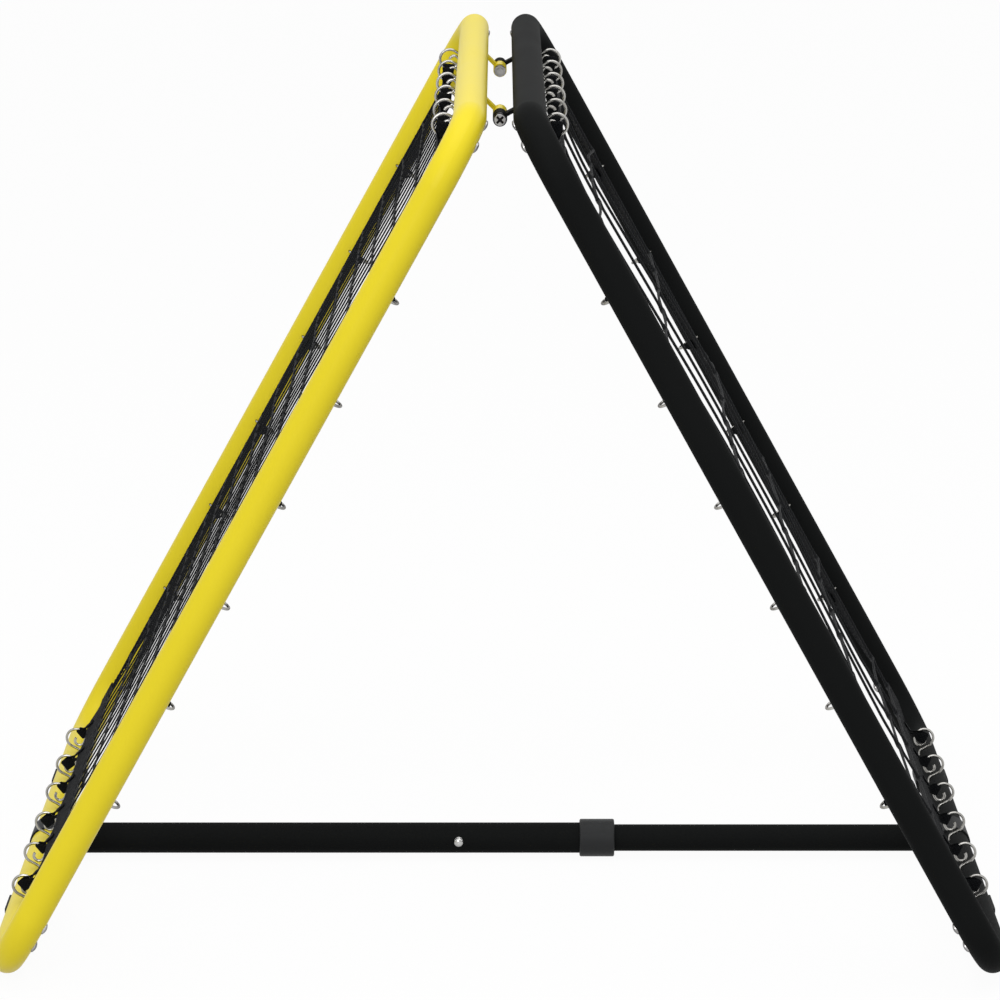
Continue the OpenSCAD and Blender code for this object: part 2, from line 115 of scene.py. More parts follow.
def seen(red, green, blue):
    """A colour as a screen shows it, 0 to 255, turned into the linear values that shaders use."""
    screen = np.array([red, green, blue]) / 255
    linear = np.where(screen <= 0.04045, screen / 12.92, ((screen + 0.055) / 1.055) ** 2.4)
    return (*linear.tolist(), 1.0)


# %% [markdown]
# ## A white studio
# A catalogue picture is taken on paper that is lit to pure white. That much
# light would burn out the yellow paint too, so the floor and the world are
# fully white only to the camera and in reflections. To all other rays they are
# a light floor and a soft sky. A small share of the floor stays paint, which
# keeps the object's shadow.

# %% Floor and world
FLOOR_SIZE = 30.0
FLOOR_DROP = 0.0004
FLOOR_WHITE = 0.66
FLOOR_SHOWN = 0.95
FLOOR_GLOW_SHARE = 0.95
WORLD_LIGHT = 0.6


def looked_at(tree):
    """1 for rays from the camera and for reflected or refracted ones, otherwise 0."""
    path = tree.nodes.new("ShaderNodeLightPath")
    mirrored = calculate(
        tree, "MAXIMUM", path.outputs["Is Glossy Ray"], path.outputs["Is Transmission Ray"]
    )
    return calculate(tree, "MAXIMUM", path.outputs["Is Camera Ray"], mirrored)


def floor_material():
    """White floor: mostly glow to the camera, with enough plain white paint left to show a shadow."""
    material = bpy.data.materials.new("floor_white")
    material.use_nodes = True
    tree = material.node_tree
    tree.nodes.clear()
    seen_ray = looked_at(tree)
    white = calculate(
        tree, "ADD", calculate(tree, "MULTIPLY", seen_ray, FLOOR_SHOWN - FLOOR_WHITE), FLOOR_WHITE
    )
    paint = add_node(tree, "ShaderNodeBsdfDiffuse", Color=white)
    glow = add_node(tree, "ShaderNodeEmission", Color=(1, 1, 1, 1), Strength=1.0)
    share = calculate(tree, "MULTIPLY", seen_ray, FLOOR_GLOW_SHARE)
    mix = tree.nodes.new("ShaderNodeMixShader")
    tree.links.new(share, mix.inputs[0])
    tree.links.new(paint.outputs[0], mix.inputs[1])
    tree.links.new(glow.outputs[0], mix.inputs[2])
    output = tree.nodes.new("ShaderNodeOutputMaterial")
    tree.links.new(mix.outputs[0], output.inputs["Surface"])
    return material


half_floor = FLOOR_SIZE / 2
floor_corners = [
    (x * half_floor, y * half_floor, -FLOOR_DROP) for x, y in ((-1, -1), (1, -1), (1, 1), (-1, 1))
]
floor_mesh = bpy.data.meshes.new("floor")
floor_mesh.from_pydata(floor_corners, [], [(0, 1, 2, 3)])
floor = bpy.data.objects.new("floor", floor_mesh)
floor_mesh.materials.append(floor_material())
bpy.context.scene.collection.objects.link(floor)

world = bpy.data.worlds.new("studio")
world.use_nodes = True
bpy.context.scene.world = world
world_tree = world.node_tree
world_tree.nodes.clear()
world_strength = calculate(
    world_tree,
    "ADD",
    calculate(world_tree, "MULTIPLY", looked_at(world_tree), 1 - WORLD_LIGHT),
    WORLD_LIGHT,
)
sky = add_node(world_tree, "ShaderNodeBackground", Color=(1, 1, 1, 1), Strength=world_strength)
world_output = world_tree.nodes.new("ShaderNodeOutputWorld")
world_tree.links.new(sky.outputs[0], world_output.inputs["Surface"])
print("floor", FLOOR_SIZE, "m, world light", WORLD_LIGHT)

# %% [markdown]
# ## Lamps
# Most light comes from the sky and the floor, as in a light tent. Two softboxes
# shape it: a wide one overhead brightens the tops of the tubes, and one beside
# the camera the faces that look at it. Wide lamps leave no hard shadow edges.

# %% Lamps
OVERHEAD = {"place": (0.2, -0.6, 3.0), "turn": (11, 4, 0), "size": 2.6, "power": 36}
FRONT = {"place": (-0.9, -3.5, 1.9), "turn": (66, 0, -14), "size": 1.4, "power": 36}


def softbox(name, place, turn, size, power):
    """A square area lamp: turn is in degrees about X, Y and Z, and power in watts."""
    lamp = bpy.data.lights.new(name, "AREA")
    lamp.size = size
    lamp.energy = power
    holder = bpy.data.objects.new(name, lamp)
    holder.location = place
    holder.rotation_euler = [math.radians(a) for a in turn]
    bpy.context.scene.collection.objects.link(holder)
    return holder


softbox("overhead", **OVERHEAD)
softbox("front", **FRONT)
print("lamps", OVERHEAD["power"], FRONT["power"], "W")

# %% [markdown]
# ## Shared surface effects
# Powder paint has a fine orange peel, drawn wire has lines, moulded plastic has
# a fine grain, webbing has a weave and cord has a twist. Each is a node group
# that only works out masks and heights, so the shader itself stays in the
# material that uses it.


# %% Groups for paint, metal and plastic
def new_group(name, inputs, outputs):
    """An empty shader group; inputs are (name, default) and outputs are names, all numbers."""
    group = bpy.data.node_groups.new(name, "ShaderNodeTree")
    for socket_name, default in inputs:
        socket = group.interface.new_socket(
            socket_name, in_out="INPUT", socket_type="NodeSocketFloat"
        )
        socket.default_value = default
    for socket_name in outputs:
        group.interface.new_socket(socket_name, in_out="OUTPUT", socket_type="NodeSocketFloat")
    entry = group.nodes.new("NodeGroupInput")
    leave = group.nodes.new("NodeGroupOutput")
    return group, entry, leave


def grain_group():
    """Two layers of noise on Object coordinates: fine grain for height, broad cloud for gloss."""
    group, entry, leave = new_group(
        "surface_grain", [("Fineness", 900.0), ("Cloud", 14.0)], ["Grain", "Cloudiness"]
    )
    place = group.nodes.new("ShaderNodeTexCoord").outputs["Object"]
    fine = add_node(
        group, "ShaderNodeTexNoise", Vector=place, Scale=entry.outputs["Fineness"], Detail=2.0
    )
    broad = add_node(
        group, "ShaderNodeTexNoise", Vector=place, Scale=entry.outputs["Cloud"], Detail=4.0
    )
    group.links.new(fine.outputs[0], leave.inputs["Grain"])
    group.links.new(broad.outputs[0], leave.inputs["Cloudiness"])
    return group


def weave_group():
    """Plain weave on the UV map: warp and weft ribs, each raised where it passes over."""
    group, entry, leave = new_group("webbing_weave", [("Pitch", 0.0012)], ["Height", "Shade"])
    uv = group.nodes.new("ShaderNodeUVMap").outputs[0]
    parts = group.nodes.new("ShaderNodeSeparateXYZ")
    group.links.new(uv, parts.inputs[0])
    along = calculate(group, "DIVIDE", parts.outputs[0], entry.outputs["Pitch"])
    across = calculate(group, "DIVIDE", parts.outputs[1], entry.outputs["Pitch"])
    cell = calculate(
        group, "ADD", calculate(group, "FLOOR", along), calculate(group, "FLOOR", across)
    )
    over = calculate(group, "MODULO", calculate(group, "ABSOLUTE", cell), 2.0)
    warp, weft = (
        calculate(
            group, "SINE", calculate(group, "MULTIPLY", calculate(group, "FRACT", way), math.pi)
        )
        for way in (across, along)
    )
    picked = calculate(
        group,
        "ADD",
        calculate(group, "MULTIPLY", warp, over),
        calculate(group, "MULTIPLY", weft, calculate(group, "SUBTRACT", 1.0, over)),
    )
    group.links.new(picked, leave.inputs["Height"])
    # The Shade mask is for painted light: it rises on the crests of the warp ribs where they pass
    # over.
    group.links.new(calculate(group, "MULTIPLY", over, picked), leave.inputs["Shade"])
    return group


def twist_group():
    """Twisted strands on the UV map, whose u runs along a cord in cord widths and v once round it."""
    group, entry, leave = new_group("cord_twist", [("Strands", 3.0), ("Lay", 0.8)], ["Height"])
    uv = group.nodes.new("ShaderNodeUVMap").outputs[0]
    parts = group.nodes.new("ShaderNodeSeparateXYZ")
    group.links.new(uv, parts.inputs[0])
    along = calculate(group, "MULTIPLY", parts.outputs[0], entry.outputs["Lay"])
    turn = calculate(group, "MULTIPLY", parts.outputs[1], entry.outputs["Strands"])
    phase = calculate(group, "MULTIPLY", calculate(group, "ADD", along, turn), math.pi)
    ridges = calculate(group, "ABSOLUTE", calculate(group, "SINE", phase))
    group.links.new(ridges, leave.inputs["Height"])
    return group


GRAIN = grain_group()
WEAVE = weave_group()
TWIST = twist_group()
print("groups", [group.name for group in (GRAIN, WEAVE, TWIST)])


# %% [markdown]
# ## Materials
# Each finish is one function that returns a material, and its arguments are what
# differs between two pieces of the same stuff. Numbers that are the same all
# over sit on the Principled shader. Only what changes over the surface comes in
# through a node.


# %% Material helpers
def start_material(name, colour, metallic=0.0, roughness=0.5, specular=0.5):
    """A Principled material with its plain numbers set; returns material, tree and shader."""
    material = bpy.data.materials.new(name)
    material.use_nodes = True
    tree = material.node_tree
    shader = tree.nodes["Principled BSDF"]
    shader.inputs["Base Color"].default_value = colour
    shader.inputs["Metallic"].default_value = metallic
    shader.inputs["Roughness"].default_value = roughness
    shader.inputs["Specular IOR Level"].default_value = specular
    return material, tree, shader


def use_group(tree, group, **values):
    """Places a shared group in a material with this material's own values."""
    node = tree.nodes.new("ShaderNodeGroup")
    node.node_tree = group
    for name, value in values.items():
        node.inputs[name].default_value = value
    return node


def set_bump(tree, shader, height, distance, strength=1.0):
    """Feeds a height through a Bump node; distance is the relief in metres."""
    bump = add_node(tree, "ShaderNodeBump", Height=height, Distance=distance, Strength=strength)
    tree.links.new(bump.outputs[0], shader.inputs["Normal"])


def spread(tree, value, low, high):
    """Maps a 0 to 1 value onto low to high."""
    node = add_node(tree, "ShaderNodeMapRange", Value=value)
    node.inputs["To Min"].default_value = low
    node.inputs["To Max"].default_value = high
    return node.outputs[0]


def tint(tree, shader, factor, first, second):
    """Mixes two colours by a factor into the base colour."""
    mix = tree.nodes.new("ShaderNodeMix")
    mix.data_type = "RGBA"
    tree.links.new(factor, mix.inputs["Factor"])
    mix.inputs["A"].default_value = first
    mix.inputs["B"].default_value = second
    tree.links.new(mix.outputs["Result"], shader.inputs["Base Color"])


# %% [markdown]
# ## Paint and plastic
# The tubes are sprayed with powder and baked, which leaves an even skin with a
# fine orange peel. The feet, sleeves and collar are moulded, with the even
# grain of the mould. On both the grain goes into the bump, and a broad cloud
# shifts colour and gloss so little that it only stops the surface looking flat.

# %% Powder paint and moulded plastic
PAINT_RELIEF = 0.00004
PAINT_CLOUD = 0.05
PLASTIC_RELIEF = 0.00006
PLASTIC_SMOOTHER = 0.06
PLASTIC_ROUGHER = 0.08


def powder_coat(name, colour, darker, roughness, specular):
    """Baked powder paint: orange peel in the height, faint clouds in gloss and colour."""
    material, tree, shader = start_material(name, colour, specular=specular)
    grain = use_group(tree, GRAIN, Fineness=650.0, Cloud=11.0)
    tint(tree, shader, grain.outputs["Cloudiness"], darker, colour)
    rough = spread(
        tree, grain.outputs["Cloudiness"], roughness - PAINT_CLOUD, roughness + PAINT_CLOUD
    )
    tree.links.new(rough, shader.inputs["Roughness"])
    set_bump(tree, shader, grain.outputs["Grain"], PAINT_RELIEF)
    return material


def moulded(name, colour, lighter, roughness, specular):
    """Moulded plastic: an even spark-eroded grain and a slight bloom."""
    material, tree, shader = start_material(name, colour, specular=specular)
    grain = use_group(tree, GRAIN, Fineness=1600.0, Cloud=24.0)
    tint(tree, shader, grain.outputs["Cloudiness"], colour, lighter)
    rough = spread(
        tree, grain.outputs["Grain"], roughness - PLASTIC_SMOOTHER, roughness + PLASTIC_ROUGHER
    )
    tree.links.new(rough, shader.inputs["Roughness"])
    set_bump(tree, shader, grain.outputs["Grain"], PLASTIC_RELIEF)
    return material


YELLOW_PAINT = powder_coat("yellow_paint", seen(234, 214, 44), seen(228, 208, 40), 0.38, 0.12)
BLACK_PAINT = powder_coat("black_paint", seen(24, 25, 25), seen(20, 21, 21), 0.62, 0.018)
SLEEVE_PLASTIC = moulded("sleeve_plastic", seen(18, 19, 20), seen(24, 25, 26), 0.5, 0.08)
COLLAR_PLASTIC = moulded("collar_plastic", seen(38, 39, 40), seen(46, 47, 48), 0.46, 0.14)
print("paints", YELLOW_PAINT.name, BLACK_PAINT.name)

# %% [markdown]
# ## Zinc plate
# Hooks, screws and hinge hardware are zinc plated. Plain metal would mirror the
# white studio and vanish against it. Real plate is cloudy, and that goes into its
# colour. Painted shade goes into it too: the colour darkens where the metal turns
# from the eye. The cross recess of a hinge bolt and its rounded rim are too small
# for lamps to shade, so a mask on the bolt's own measures paints shade on them.

# %% Zinc plate
PLATE_RELIEF = 0.00003
PLATE_BRIGHTNESS = 0.12
DULL_ROUGHER = 0.1
BRIGHT_SMOOTHER = 0.08
# Painted shade where the plate turns from the eye: how deep it is, and how fast it grows.
EDGE_PAINTED_SHADE = 0.85
EDGE_FALLOFF = 1.6
FACE_SKIN = 0.0004
# Painted shade on the rounded rim of a bolt head, as a share of the recess's.
RIM_PAINTED_SHADE = 0.5


def head_shade(tree, node_name, recess_reach, recess_depth, rim_reach):
    """A mask of painted shade: 1 in the drive recess and the rim's share at the rim of round heads
    that face along Y, otherwise 0.
    """
    low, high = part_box(node_name)
    place = tree.nodes.new("ShaderNodeTexCoord").outputs["Object"]
    parts = add_node(tree, "ShaderNodeSeparateXYZ", Vector=place)
    aside = calculate(tree, "SUBTRACT", parts.outputs[0], (low.x + high.x) / 2)
    above = calculate(tree, "SUBTRACT", parts.outputs[2], (low.z + high.z) / 2)
    squares = [calculate(tree, "MULTIPLY", part, part) for part in (aside, above)]
    radius = calculate(tree, "SQRT", calculate(tree, "ADD", *squares))
    under_face = calculate(tree, "SUBTRACT", high.y, calculate(tree, "ABSOLUTE", parts.outputs[1]))
    middle = calculate(tree, "LESS_THAN", radius, recess_reach)
    sunk = calculate(tree, "GREATER_THAN", under_face, FACE_SKIN)
    shallow = calculate(tree, "LESS_THAN", under_face, recess_depth)
    recess = calculate(tree, "MULTIPLY", middle, calculate(tree, "MULTIPLY", sunk, shallow))
    outside = calculate(tree, "GREATER_THAN", radius, rim_reach)
    rim = calculate(tree, "MULTIPLY", outside, RIM_PAINTED_SHADE)
    return calculate(tree, "MAXIMUM", recess, rim)


def zinc(name, bright, dull_and_shaded, roughness, fineness, head=None):
    """Zinc plate: cloudy passivation, a fine drawn grain, and painted shade where it turns from the
    eye.

    head names what head_shade needs, for fasteners with painted shade in their recess and at their
    rim.
    """
    material, tree, shader = start_material(name, bright, metallic=1.0, roughness=roughness)
    grain = use_group(tree, GRAIN, Fineness=fineness, Cloud=60.0)
    # Painted shade: the colour darkens towards the edges that turn from the eye.
    facing = add_node(tree, "ShaderNodeLayerWeight", Blend=0.5).outputs["Facing"]
    turned = calculate(tree, "MULTIPLY", calculate(tree, "POWER", facing, EDGE_FALLOFF), EDGE_PAINTED_SHADE)
    plain = calculate(tree, "SUBTRACT", grain.outputs["Cloudiness"], turned)
    if head:
        plain = calculate(tree, "SUBTRACT", plain, head_shade(tree, **head))
    lifted = calculate(tree, "ADD", plain, PLATE_BRIGHTNESS)
    shine = add_node(tree, "ShaderNodeClamp", Value=lifted)
    # Cloudiness and painted shade both pull the colour towards the darker one.
    tint(tree, shader, shine.outputs[0], dull_and_shaded, bright)
    rough = spread(
        tree, grain.outputs["Cloudiness"], roughness + DULL_ROUGHER, roughness - BRIGHT_SMOOTHER
    )
    tree.links.new(rough, shader.inputs["Roughness"])
    set_bump(tree, shader, grain.outputs["Grain"], PLATE_RELIEF)
    return material


BOLT_HEAD = {
    "node_name": "hinge_bolts",
    "recess_reach": 0.0044,
    "recess_depth": 0.004,
    "rim_reach": 0.005,
}
WIRE_ZINC = zinc("wire_zinc", seen(204, 203, 199), seen(92, 88, 82), 0.24, 2400.0)
STEEL_ZINC = zinc("steel_zinc", seen(208, 206, 205), seen(70, 68, 68), 0.3, 1500.0)
BOLT_ZINC = zinc("bolt_zinc", seen(226, 225, 224), seen(34, 33, 33), 0.3, 1500.0, BOLT_HEAD)
BUTTON_STEEL = zinc("button_steel", seen(226, 226, 224), seen(96, 96, 96), 0.22, 1200.0)
print("plated", [zinc_plate.name for zinc_plate in (WIRE_ZINC, STEEL_ZINC, BOLT_ZINC, BUTTON_STEEL)])

# %% [markdown]
# ## Webbing and cord
# The border is woven polyester, and the nets are twisted cord. From close by
# the threads show, so ribs and strands raise the surface through the bump. Their
# colour is painted a little lighter on their tops and darker in the grooves
# between them, a painted highlight and painted shade.

# %% Webbing and cord
WEAVE_RELIEF = 0.00035
TWIST_RELIEF = 0.0003
WEBBING_SHEEN = 0.015


def webbing(name, colour, lighter, pitch):
    """Woven polyester webbing with its ribs, a soft sheen and a painted highlight on its high
    threads.
    """
    material, tree, shader = start_material(name, colour, roughness=0.8, specular=0.05)
    weave = use_group(tree, WEAVE, Pitch=pitch)
    # Painted light: the high threads take the lighter colour and the grooves keep the darker one.
    tint(tree, shader, weave.outputs["Shade"], colour, lighter)
    set_bump(tree, shader, weave.outputs["Height"], WEAVE_RELIEF)
    shader.inputs["Sheen Weight"].default_value = WEBBING_SHEEN
    shader.inputs["Sheen Roughness"].default_value = 0.5
    return material


def cord(name, colour, lighter, strands, lay):
    """Twisted cord: raised strands, with painted shade in the grooves between them and a painted
    highlight on their tops.
    """
    material, tree, shader = start_material(name, colour, roughness=0.65, specular=0.1)
    twist = use_group(tree, TWIST, Strands=strands, Lay=lay)
    # Painted light: strand tops take the lighter colour and the grooves the darker one.
    tint(tree, shader, twist.outputs["Height"], colour, lighter)
    set_bump(tree, shader, twist.outputs["Height"], TWIST_RELIEF)
    return material


BORDER_WEBBING = webbing("border_webbing", seen(12, 13, 15), seen(22, 24, 27), 0.0016)
NET_CORD = cord("net_cord", seen(12, 13, 14), seen(28, 29, 31), 3.0, 0.8)
STITCH_THREAD = cord("stitch_thread", seen(22, 23, 25), seen(40, 42, 45), 2.0, 1.2)
print("materials", len(bpy.data.materials))

# %% [markdown]
# ## Dressing the rigid pieces
# Each piece could be given its finish by hand. Here its name decides instead,
# by the first word in the list that it holds, so that another screw or sleeve
# needs no new line.

# %% Dress the rigid pieces
FINISH_BY_WORD = [
    ("hooks", WIRE_ZINC),
    ("snap_button", BUTTON_STEEL),
    ("screws", STEEL_ZINC),
    ("bolts", BOLT_ZINC),
    ("washers", STEEL_ZINC),
    ("nuts", STEEL_ZINC),
    ("spring", STEEL_ZINC),
    ("collar", COLLAR_PLASTIC),
    ("feet", SLEEVE_PLASTIC),
    ("sleeve", SLEEVE_PLASTIC),
    ("net", NET_CORD),
    ("yellow", YELLOW_PAINT),
]


def finish_of(node_name):
    """The first finish whose word is in the piece's name; what is left is painted black."""
    for word, finish in FINISH_BY_WORD:
        if word in node_name:
            return finish
    return BLACK_PAINT


for node_name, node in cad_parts.items():
    node.data.materials.clear()
    node.data.materials.append(finish_of(node_name))
print("dressed", len(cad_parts), "rigid pieces")

# %% [markdown]
# ## Where each frame lies
# The soft pieces are drawn on the plane of a frame, with t down the slope from
# the top crossbar, w across the width and q outwards. The plane is measured
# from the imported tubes, so the nets follow the frames if those are resized.


# %% Planes of the two frames
class Plane:
    """The plane through one frame's tube centres, with its measured sizes in metres.

    border_edge and mesh_edge are depths: how far in from a tube's centre line the
    border and the open net begin. edge_ways holds, for each tube, the way along
    it and the way in from it.
    """

    def __init__(self, side):
        sign = 1.0 if side == "black" else -1.0
        tube_low, tube_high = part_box(f"{side}_far_side_tube")
        top_low, top_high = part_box(f"{side}_top_rail")
        bottom_low, bottom_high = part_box(f"{side}_bottom_rail")
        self.side = side
        self.tube_r = (tube_high.y - tube_low.y) / 2
        self.half_w = (tube_high.y + tube_low.y) / 2
        inner_x = top_low.x if sign > 0 else top_high.x
        outer_x = bottom_high.x if sign > 0 else bottom_low.x
        self.origin = np.array([inner_x + sign * self.tube_r, 0.0, top_high.z - self.tube_r])
        foot = np.array([outer_x - sign * self.tube_r, 0.0, bottom_low.z + self.tube_r])
        self.length = float(np.linalg.norm(foot - self.origin))
        self.down = (foot - self.origin) / self.length
        self.across = np.array([0.0, 1.0, 0.0])
        self.out = sign * np.array([-self.down[2], 0.0, self.down[0]])
        self.border_edge = self.half_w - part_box(f"{side}_net_border")[1].y
        self.mesh_edge = self.half_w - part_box(f"{side}_net")[1].y
        self.strap_width = self.mesh_edge - self.border_edge
        self.edge_ways = {
            "top": (self.across, self.down),
            "bottom": (self.across, -self.down),
            "near": (self.down, self.across),
            "far": (self.down, -self.across),
        }

    def place(self, t, w, q):
        """Points in the row frame: origin plus t down, w across and q out."""
        t, w, q = np.broadcast_arrays(t, w, q)
        return (
            self.origin
            + t[..., None] * self.down
            + w[..., None] * self.across
            + q[..., None] * self.out
        )

    def measure(self, points):
        """The reverse of place: t, w and q of points in the row frame."""
        moved = points - self.origin
        return moved @ self.down, moved @ self.across, moved @ self.out

    def at_edge(self, edge, along, depth, q):
        """A point by its tube: along it, depth in from its centre line, and q out."""
        if edge == "top":
            return self.place(depth, along, q)
        if edge == "bottom":
            return self.place(self.length - depth, along, q)
        if edge == "near":
            return self.place(along, depth - self.half_w, q)
        return self.place(along, self.half_w - depth, q)


EDGES = ("top", "bottom", "near", "far")
PLANES = {side: Plane(side) for side in ("yellow", "black")}
for side, plane in PLANES.items():
    lean = math.degrees(math.asin(abs(plane.down[0])))
    size = [round(value, 4) for value in (2 * plane.half_w, plane.length)]
    print(side, "frame: width and length", size, "lean", round(lean, 2))

# %% [markdown]
# ## Where the hooks' rings are
# A hook is a wire that goes through its tube and ends in an open ring, which a
# tab of the net loops through. The rings' places could be typed in, but then
# the tabs would stay behind if a hook moved. So they are measured: along a tube
# the hooks' points fall into groups, and the deepest points of a group lie on
# its ring.

# %% Measure the rings
WIRE_THICKNESS = 0.0025
RING_RADIUS = 0.0092
HOOK_CLEARANCE = 0.02
DEEPEST_BAND = WIRE_THICKNESS / 8


def ring_marks(plane, edge):
    """For each hook of one tube: along the tube, depth and q of its ring's centre."""
    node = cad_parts[f"{plane.side}_{edge}_hooks"]
    points = np.empty(3 * len(node.data.vertices))
    node.data.vertices.foreach_get("co", points)
    t, w, q = plane.measure(points.reshape(-1, 3))
    along, depth = {
        "top": (w, t),
        "bottom": (w, plane.length - t),
        "near": (t, w + plane.half_w),
        "far": (t, plane.half_w - w),
    }[edge]
    order = np.argsort(along)
    breaks = np.nonzero(np.diff(along[order]) > HOOK_CLEARANCE)[0] + 1
    marks = []
    for hook in np.split(order, breaks):
        lowest = hook[depth[hook] > depth[hook].max() - DEEPEST_BAND]
        centre_depth = depth[hook].max() - WIRE_THICKNESS / 2 - RING_RADIUS
        marks.append((along[lowest].mean(), centre_depth, q[lowest].mean()))
    return np.array(marks)


MARKS = {(side, edge): ring_marks(PLANES[side], edge) for side in PLANES for edge in EDGES}
for key, marks in MARKS.items():
    print(key, len(marks), "rings, depth and q", marks[:, 1:].mean(0).round(4).tolist())

# %% [markdown]
# ## Meshes from whole arrays
# Two ways of making a surface serve every soft piece. A tube carries a circle
# along a path, and a band carries a flat rounded profile. Both are worked out
# for many pieces at once, as arrays with one axis for the pieces, one along
# the path and one round the profile.


# %% From swept points to a closed mesh
def sweep_faces(count, stations, sides):
    """Quads between neighbouring stations of count sweeps, and one flat cap at each end."""
    piece, station, side = np.meshgrid(
        np.arange(count), np.arange(stations - 1), np.arange(sides), indexing="ij"
    )
    here = (piece * stations + station) * sides
    turned = (side + 1) % sides
    quads = np.stack([here + side, here + turned, here + sides + turned, here + sides + side], -1)
    rings = np.arange(sides)
    first = np.arange(count)[:, None] * stations * sides
    caps = [first + rings[::-1], first + (stations - 1) * sides + rings]
    return quads.reshape(-1, 4), np.concatenate(caps)


def make_piece(name, points, uv, material):
    """A closed mesh from swept points (pieces, stations, sides, 3) and their UVs (one more side)."""
    count, stations, sides = points.shape[:3]
    quads, caps = sweep_faces(count, stations, sides)
    mesh = bpy.data.meshes.new(name)
    mesh.from_pydata(points.reshape(-1, 3), [], quads.tolist() + caps.tolist())
    corners = np.stack(
        [uv[:, :-1, :-1], uv[:, :-1, 1:], uv[:, 1:, 1:], uv[:, 1:, :-1]], axis=3
    ).reshape(-1, 2)
    flat_caps = np.zeros((caps.size, 2))
    layer = mesh.uv_layers.new(name="UVMap")
    layer.data.foreach_set("uv", np.concatenate([corners, flat_caps]).ravel())
    shell = bmesh.new()
    shell.from_mesh(mesh)
    bmesh.ops.recalc_face_normals(shell, faces=shell.faces[:])
    shell.to_mesh(mesh)
    shell.free()
    mesh.shade_smooth()
    mesh.materials.append(material)
    piece = bpy.data.objects.new(name, mesh)
    bpy.context.scene.collection.objects.link(piece)
    print(name, count, "sweeps,", len(quads) + len(caps), "faces")
    return piece


# %% Points of a tube
def unit(vectors):
    """The same directions with a length of one."""
    return vectors / np.linalg.norm(vectors, axis=-1, keepdims=True)


def run_along(paths):
    """The distance from the start of each path to each of its stations."""
    steps = np.linalg.norm(np.diff(paths, axis=1), axis=-1)
    return np.concatenate([np.zeros((len(paths), 1)), np.cumsum(steps, axis=1)], axis=1)


def tube_points(paths, radii, up, sides):
    """Circles round paths (pieces, stations, 3): radius times cosine sideways plus sine upwards."""
    tangent = unit(np.gradient(paths, axis=1))
    sideways = unit(np.cross(tangent, up))
    lifted = np.cross(sideways, tangent)
    angle = 2 * np.pi * np.arange(sides) / sides
    ring = (
        np.cos(angle)[:, None] * sideways[:, :, None, :]
        + np.sin(angle)[:, None] * lifted[:, :, None, :]
    )
    points = paths[:, :, None, :] + radii[..., None, None] * ring
    widths = run_along(paths) / (2 * radii.mean())
    uv = np.stack(
        np.broadcast_arrays(widths[:, :, None], np.arange(sides + 1) / sides), axis=-1
    )
    return points, uv


# %% Points of a band
SHOULDER_SQUARENESS = 14


def band_profile(half_sides):
    """A flat oval with square shoulders, as (across, thick) pairs, each from -1 to 1."""
    across = -np.cos(np.pi * np.arange(half_sides + 1) / half_sides)
    thick = (1 - across**SHOULDER_SQUARENESS) ** 0.5
    upper = np.stack([across, thick], -1)
    lower = np.stack([across[-2:0:-1], -thick[-2:0:-1]], -1)
    return np.concatenate([upper, lower])


def band_points(paths, width_ways, width, thickness, half_sides=6):
    """A flat band: the profile's across goes along width_ways and its thickness along the normal."""
    tangent = unit(np.gradient(paths, axis=1))
    across = unit(width_ways)
    normal = unit(np.cross(tangent, across))
    profile = band_profile(half_sides)
    points = (
        paths[:, :, None, :]
        + width / 2 * profile[:, 0, None] * across[:, :, None, :]
        + thickness / 2 * profile[:, 1, None] * normal[:, :, None, :]
    )
    closed = np.append(profile[:, 0], profile[0, 0]) * width / 2
    uv = np.stack(np.broadcast_arrays(run_along(paths)[:, :, None], closed), axis=-1)
    return points, uv


def smoothstep(value):
    """Rises from 0 to 1 with a level start and end."""
    value = np.clip(value, 0.0, 1.0)
    return value * value * (3 - 2 * value)


# %% [markdown]
# ## The webbing border
# Four straps of woven webbing frame each net and overlap at the corners. The
# hooks' rings stand beside the plane of the net, so each strap tilts: its outer
# edge is pulled towards the rings, most at a hook and less between hooks. The
# crossbars' rings curl outwards and the side tubes' rings curl inwards.

# %% The pulled surface of a strap
STRAP_THICKNESS = 0.0018
STRAP_PULL = {
    ("yellow", "crossbar"): 0.006,
    ("black", "crossbar"): 0.001,
    ("yellow", "side"): 0.008,
    ("black", "side"): 0.008,
}
PULL_BETWEEN_HOOKS = 0.8
PULL_CURVE = 1.3
EDGE_SLACK = 0.0008
CORNER_RUN = 0.075


def strap_surface(plane, edge, along, share):
    """Depth and q of a strap at a place along its tube; share is 0 at its outer edge, 1 at its inner.

    The pull is a cosine wave with its crests at the hooks, it fades to nothing
    at both corners and at the inner edge, and it leans towards the rings.
    """
    marks = MARKS[plane.side, edge]
    spacing = np.diff(marks[:, 0]).mean()
    crest = 0.5 + 0.5 * np.cos(2 * np.pi * (along - marks[0, 0]) / spacing)
    if edge in ("top", "bottom"):
        kind, ends = "crossbar", (-plane.half_w, plane.half_w)
    else:
        kind, ends = "side", (0.0, plane.length)
    to_corner = np.minimum(along - ends[0], ends[1] - along) - plane.mesh_edge
    fade = smoothstep(to_corner / CORNER_RUN)
    toward_rings = np.sign(marks[:, 2].mean())
    pull = STRAP_PULL[plane.side, kind]
    pull = pull * (PULL_BETWEEN_HOOKS + (1 - PULL_BETWEEN_HOOKS) * crest)
    over = STRAP_THICKNESS / 2 * toward_rings * (1 - fade)
    q = toward_rings * pull * fade * (1 - share) ** PULL_CURVE + over
    depth = plane.border_edge + share * plane.strap_width
    depth = depth + EDGE_SLACK * (1 - crest) * fade * (1 - share)
    return depth, q


for side, plane in PLANES.items():
    print(side, "straps are", round(1000 * plane.strap_width, 1), "mm wide")

